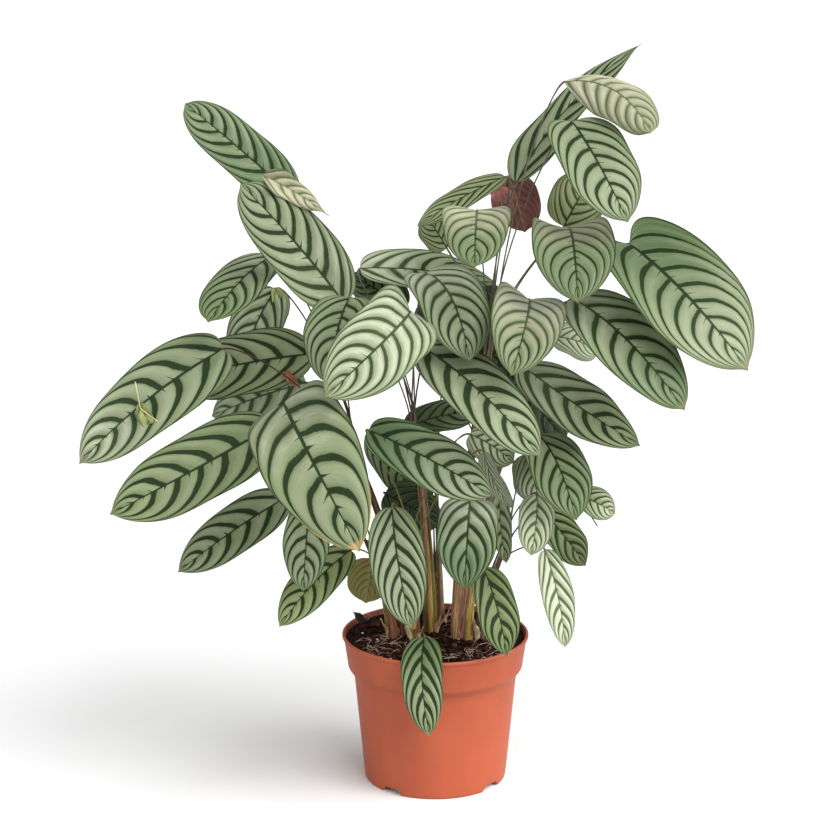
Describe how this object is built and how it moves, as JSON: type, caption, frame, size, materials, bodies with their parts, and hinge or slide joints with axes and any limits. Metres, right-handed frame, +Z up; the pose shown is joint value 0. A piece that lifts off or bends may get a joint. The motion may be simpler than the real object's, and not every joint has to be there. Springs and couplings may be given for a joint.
{
  "type": "potted ctenanthe",
  "caption": "Leafy potted houseplant: long oval leaves with dark herringbone bands on arching stalks, in a round plastic nursery pot.",
  "frame": {"origin": "on the pot's axis, at the flat base that it stands on", "axes": "+Z up along the pot's axis, +X to the right and -Y towards the viewer of the plant's best side"},
  "size_m": [0.5846, 0.4457, 0.6605],
  "materials": {
    "pot_plastic": "satin",
    "potting_mix": "matte",
    "stem": "satin",
    "leaf_blade": "satin"
  },
  "bodies": {
    "root": {"pot": "pot_plastic", "soil": "potting_mix", "shoot_left_high": "stem", "leaf_left_high_1": "leaf_blade", "leaf_left_high_2": "leaf_blade", "leaf_left_high_3": "leaf_blade", "leaf_left_high_4": "leaf_blade", "leaf_left_high_5": "leaf_blade", "leaf_left_high_6": "leaf_blade", "shoot_left_low": "stem", "leaf_left_low_1": "leaf_blade", "leaf_left_low_2": "leaf_blade", "leaf_left_low_3": "leaf_blade", "leaf_left_low_4": "leaf_blade", "leaf_left_low_5": "leaf_blade", "shoot_centre": "stem", "leaf_centre_1": "leaf_blade", "leaf_centre_2": "leaf_blade", "leaf_centre_3": "leaf_blade", "leaf_centre_4": "leaf_blade", "leaf_centre_5": "leaf_blade", "leaf_centre_6": "leaf_blade", "shoot_front": "stem", "leaf_front_1": "leaf_blade", "leaf_front_2": "leaf_blade", "leaf_front_3": "leaf_blade", "leaf_front_4": "leaf_blade", "leaf_front_5": "leaf_blade", "shoot_right_high": "stem", "leaf_right_high_1": "leaf_blade", "leaf_right_high_2": "leaf_blade", "leaf_right_high_3": "leaf_blade", "leaf_right_high_4": "leaf_blade", "leaf_right_high_5": "leaf_blade", "leaf_right_high_6": "leaf_blade", "leaf_right_high_7": "leaf_blade", "leaf_right_high_8": "leaf_blade", "leaf_right_high_9": "leaf_blade", "shoot_right_mid": "stem", "leaf_right_mid_1": "leaf_blade", "leaf_right_mid_2": "leaf_blade", "leaf_right_mid_3": "leaf_blade", "leaf_right_mid_4": "leaf_blade", "leaf_right_mid_5": "leaf_blade", "shoot_right_low": "stem", "leaf_right_low_1": "leaf_blade", "leaf_right_low_2": "leaf_blade", "leaf_right_low_3": "leaf_blade", "leaf_right_low_4": "leaf_blade", "leaf_right_low_5": "leaf_blade", "leaf_right_low_6": "leaf_blade", "leaf_right_low_7": "leaf_blade", "leaf_right_low_8": "leaf_blade", "leaf_right_low_9": "leaf_blade", "leaf_right_low_10": "leaf_blade", "shoot_back": "stem", "leaf_back_1": "leaf_blade", "leaf_back_2": "leaf_blade", "leaf_back_3": "leaf_blade", "leaf_back_4": "leaf_blade"}
  },
  "joints": []
}
